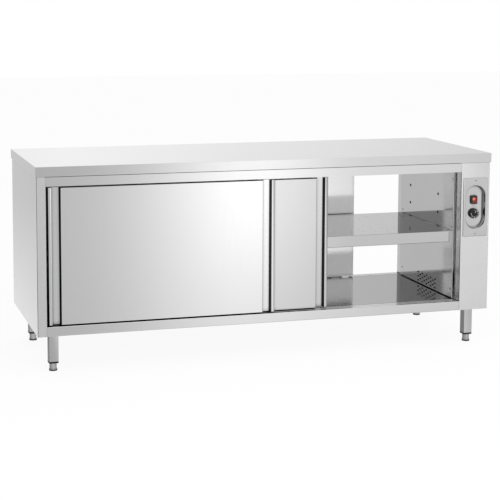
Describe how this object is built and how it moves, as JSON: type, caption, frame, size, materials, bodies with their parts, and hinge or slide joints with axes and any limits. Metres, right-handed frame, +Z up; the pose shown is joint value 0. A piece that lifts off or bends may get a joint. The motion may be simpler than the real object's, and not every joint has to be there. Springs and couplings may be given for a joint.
{
  "type": "heated cabinet",
  "caption": "Long stainless heated cabinet, open to both sides, with hanging sliding doors, a middle shelf, and a control panel with switch and knob on short legs.",
  "frame": {"origin": "on the ground, under the middle of the worktop", "axes": "+X along the length, to the control end; +Y from the control panel's side to the far side; +Z up"},
  "size_m": [2, 0.7, 0.85],
  "materials": {
    "satin_steel": "satin, fine grain",
    "bright_steel": "semi-mirror",
    "galvanised_steel": "dull zinc",
    "track_alloy": "extruded, satin",
    "black_plastic": "moulded, matt",
    "nylon": "plain moulded",
    "lamp_red": "translucent, lit",
    "heater_sheath": "heat-darkened"
  },
  "bodies": {
    "carcass": {"worktop": "satin_steel", "worktop_stiffener": "galvanised_steel", "left_side_panel": "satin_steel", "control_housing": "satin_steel", "base_tray": "satin_steel", "front_door_sill": "satin_steel", "rear_door_sill": "satin_steel", "cabinet_floor": "bright_steel", "front_top_rail": "satin_steel", "rear_top_rail": "satin_steel", "cabinet_ceiling": "bright_steel", "front_roller_track": "track_alloy", "rear_roller_track": "track_alloy", "left_inner_wall": "bright_steel", "right_inner_wall": "bright_steel", "middle_shelf": "bright_steel", "shelf_support_front_left": "galvanised_steel", "shelf_support_rear_left": "galvanised_steel", "shelf_support_front_right": "galvanised_steel", "shelf_support_rear_right": "galvanised_steel", "front_left_leg": "satin_steel", "front_right_leg": "satin_steel", "rear_left_leg": "satin_steel", "rear_right_leg": "satin_steel", "front_left_leg_cap": "black_plastic", "front_right_leg_cap": "black_plastic", "rear_left_leg_cap": "black_plastic", "rear_right_leg_cap": "black_plastic", "control_basin": "satin_steel", "switch_body": "black_plastic", "thermostat_body": "black_plastic", "blower_housing": "galvanised_steel", "blower_motor": "galvanised_steel", "heater_element": "heater_sheath", "terminal_block": "nylon", "cable_gland": "black_plastic"},
    "front_left_foot": {"front_left_levelling_foot": "satin_steel"},
    "front_right_foot": {"front_right_levelling_foot": "satin_steel"},
    "rear_left_foot": {"rear_left_levelling_foot": "satin_steel"},
    "rear_right_foot": {"rear_right_levelling_foot": "satin_steel"},
    "rocker": {"switch_rocker": "lamp_red"},
    "knob": {"thermostat_knob": "black_plastic"},
    "blower_rotor": {"blower_wheel": "track_alloy"},
    "front_left_door": {"front_left_door_face": "satin_steel", "front_left_door_back": "bright_steel"},
    "front_left_door_wheel_a": {"front_left_door_roller_a": "nylon"},
    "front_left_door_wheel_b": {"front_left_door_roller_b": "nylon"},
    "front_right_door": {"front_right_door_face": "satin_steel", "front_right_door_back": "bright_steel"},
    "front_right_door_wheel_a": {"front_right_door_roller_a": "nylon"},
    "front_right_door_wheel_b": {"front_right_door_roller_b": "nylon"},
    "rear_left_door": {"rear_left_door_face": "satin_steel", "rear_left_door_back": "bright_steel"},
    "rear_left_door_wheel_a": {"rear_left_door_roller_a": "nylon"},
    "rear_left_door_wheel_b": {"rear_left_door_roller_b": "nylon"},
    "rear_right_door": {"rear_right_door_face": "satin_steel", "rear_right_door_back": "bright_steel"},
    "rear_right_door_wheel_a": {"rear_right_door_roller_a": "nylon"},
    "rear_right_door_wheel_b": {"rear_right_door_roller_b": "nylon"}
  },
  "joints": [
    {"name": "front_left_foot_screw", "type": "slide", "parent": "carcass", "child": "front_left_foot", "axis": [0, 0, 1], "range_m": [-0.03, 0]},
    {"name": "front_right_foot_screw", "type": "slide", "parent": "carcass", "child": "front_right_foot", "axis": [0, 0, 1], "range_m": [-0.03, 0]},
    {"name": "rear_left_foot_screw", "type": "slide", "parent": "carcass", "child": "rear_left_foot", "axis": [0, 0, 1], "range_m": [-0.03, 0]},
    {"name": "rear_right_foot_screw", "type": "slide", "parent": "carcass", "child": "rear_right_foot", "axis": [0, 0, 1], "range_m": [-0.03, 0]},
    {"name": "rocker_tilt", "type": "hinge", "parent": "carcass", "child": "rocker", "pos_m": [0.929, -0.3386, 0.644], "axis": [1, 0, 0], "range_deg": [-16, 0]},
    {"name": "knob_turn", "type": "hinge", "parent": "carcass", "child": "knob", "pos_m": [0.929, -0.3283, 0.584], "axis": [0, 1, 0], "range_deg": [0, 270]},
    {"name": "blower_spin", "type": "hinge", "parent": "carcass", "child": "blower_rotor", "pos_m": [0.8915, 0, 0.241], "axis": [0, 1, 0], "continuous": true},
    {"name": "front_left_door_slide", "type": "slide", "parent": "carcass", "child": "front_left_door", "axis": [1, 0, 0], "range_m": [0, 0.849]},
    {"name": "front_left_door_wheel_a_roll", "type": "hinge", "parent": "front_left_door", "child": "front_left_door_wheel_a", "pos_m": [-0.861, -0.3265, 0.788], "axis": [0, 1, 0], "range_deg": [-40, 4904]},
    {"name": "front_left_door_wheel_b_roll", "type": "hinge", "parent": "front_left_door", "child": "front_left_door_wheel_b", "pos_m": [-0.082, -0.3265, 0.788], "axis": [0, 1, 0], "range_deg": [-40, 4904]},
    {"name": "front_right_door_slide", "type": "slide", "parent": "carcass", "child": "front_right_door", "axis": [1, 0, 0], "range_m": [-0.246, 0.603]},
    {"name": "front_right_door_wheel_a_roll", "type": "hinge", "parent": "front_right_door", "child": "front_right_door_wheel_a", "pos_m": [-0.6151, -0.3035, 0.788], "axis": [0, 1, 0], "range_deg": [-1449, 3495]},
    {"name": "front_right_door_wheel_b_roll", "type": "hinge", "parent": "front_right_door", "child": "front_right_door_wheel_b", "pos_m": [0.1639, -0.3035, 0.788], "axis": [0, 1, 0], "range_deg": [-1449, 3495]},
    {"name": "rear_left_door_slide", "type": "slide", "parent": "carcass", "child": "rear_left_door", "axis": [1, 0, 0], "range_m": [0, 0.849]},
    {"name": "rear_left_door_wheel_a_roll", "type": "hinge", "parent": "rear_left_door", "child": "rear_left_door_wheel_a", "pos_m": [-0.861, 0.3265, 0.788], "axis": [0, 1, 0], "range_deg": [-40, 4904]},
    {"name": "rear_left_door_wheel_b_roll", "type": "hinge", "parent": "rear_left_door", "child": "rear_left_door_wheel_b", "pos_m": [-0.082, 0.3265, 0.788], "axis": [0, 1, 0], "range_deg": [-40, 4904]},
    {"name": "rear_right_door_slide", "type": "slide", "parent": "carcass", "child": "rear_right_door", "axis": [1, 0, 0], "range_m": [-0.606, 0.243]},
    {"name": "rear_right_door_wheel_a_roll", "type": "hinge", "parent": "rear_right_door", "child": "rear_right_door_wheel_a", "pos_m": [-0.2551, 0.3035, 0.788], "axis": [0, 1, 0], "range_deg": [-3512, 1432]},
    {"name": "rear_right_door_wheel_b_roll", "type": "hinge", "parent": "rear_right_door", "child": "rear_right_door_wheel_b", "pos_m": [0.5239, 0.3035, 0.788], "axis": [0, 1, 0], "range_deg": [-3512, 1432]}
  ],
  "couplings": [
    {"joint": "front_left_door_wheel_a_roll", "follows": "front_left_door_slide", "rad_per_m": 100},
    {"joint": "front_left_door_wheel_b_roll", "follows": "front_left_door_slide", "rad_per_m": 100},
    {"joint": "front_right_door_wheel_a_roll", "follows": "front_right_door_slide", "rad_per_m": 100},
    {"joint": "front_right_door_wheel_b_roll", "follows": "front_right_door_slide", "rad_per_m": 100},
    {"joint": "rear_left_door_wheel_a_roll", "follows": "rear_left_door_slide", "rad_per_m": 100},
    {"joint": "rear_left_door_wheel_b_roll", "follows": "rear_left_door_slide", "rad_per_m": 100},
    {"joint": "rear_right_door_wheel_a_roll", "follows": "rear_right_door_slide", "rad_per_m": 100},
    {"joint": "rear_right_door_wheel_b_roll", "follows": "rear_right_door_slide", "rad_per_m": 100}
  ]
}
